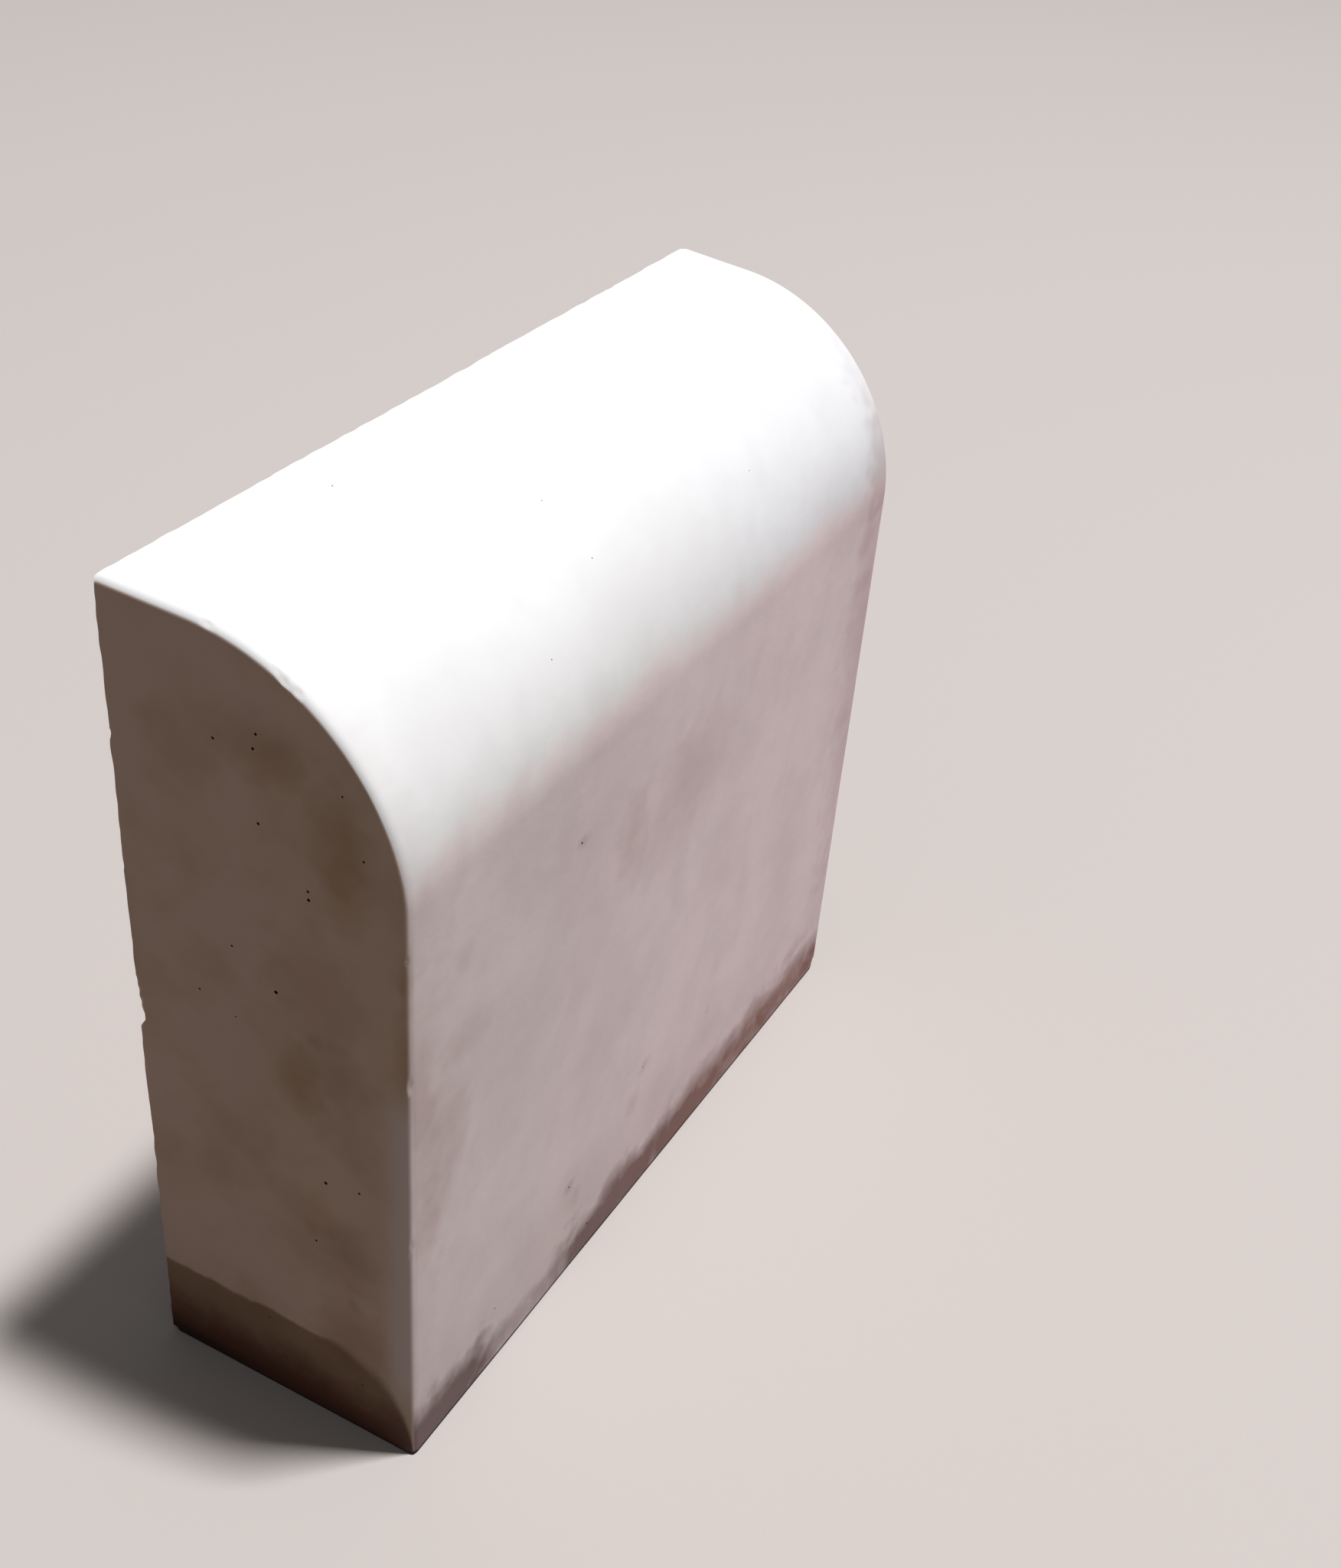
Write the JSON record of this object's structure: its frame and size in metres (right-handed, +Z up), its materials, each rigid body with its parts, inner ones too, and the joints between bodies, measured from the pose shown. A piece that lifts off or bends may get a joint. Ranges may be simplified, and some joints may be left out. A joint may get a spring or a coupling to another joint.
{
  "type": "concrete kerb stone",
  "caption": "Short precast concrete kerb stone with an upright plain back, drafted ends and a large quarter-round nose between top and front.",
  "frame": {"origin": "centre of the bed, the face that the kerb stone stands on", "axes": "+Z up from the bed to the top; -Y out of the front face, the one with the rounded nose, towards the road or paved area; +Y out of the plain back; X along the kerb line"},
  "size_m": [0.306, 0.1, 0.3],
  "materials": {
    "concrete": "smooth mould-cast concrete, matt"
  },
  "bodies": {
    "root": {"kerb_stone": "concrete"}
  },
  "joints": []
}
